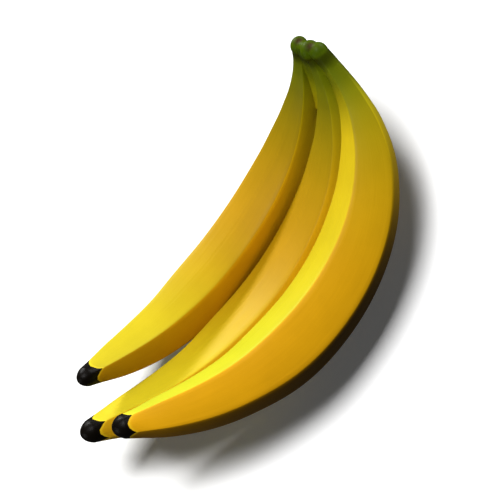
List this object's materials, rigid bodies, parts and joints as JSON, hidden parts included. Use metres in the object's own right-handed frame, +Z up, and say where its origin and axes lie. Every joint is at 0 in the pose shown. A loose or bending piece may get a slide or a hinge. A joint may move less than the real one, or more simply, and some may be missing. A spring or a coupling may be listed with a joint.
{
  "type": "bunch of bananas",
  "caption": "Hand of long curved five-sided bananas joined at a short green crown, lying on its backs, with black blossom ends.",
  "frame": {"origin": "middle of the hand's bounding box, on the surface that it lies on", "axes": "+X from the crown to the blossom ends, +Z up from the surface, +Y towards the side that the fruits fan out to"},
  "size_m": [0.2002, 0.089, 0.0816],
  "materials": {
    "crown": "green stem tissue with brown cut ends, stands in for plant matter",
    "peel": "smooth waxy banana peel, green at the stem, yellow along the fruit, black at the blossom end"
  },
  "bodies": {
    "root": {"crown": "crown", "banana_left": "peel", "banana_middle": "peel", "banana_right": "peel"}
  },
  "joints": []
}
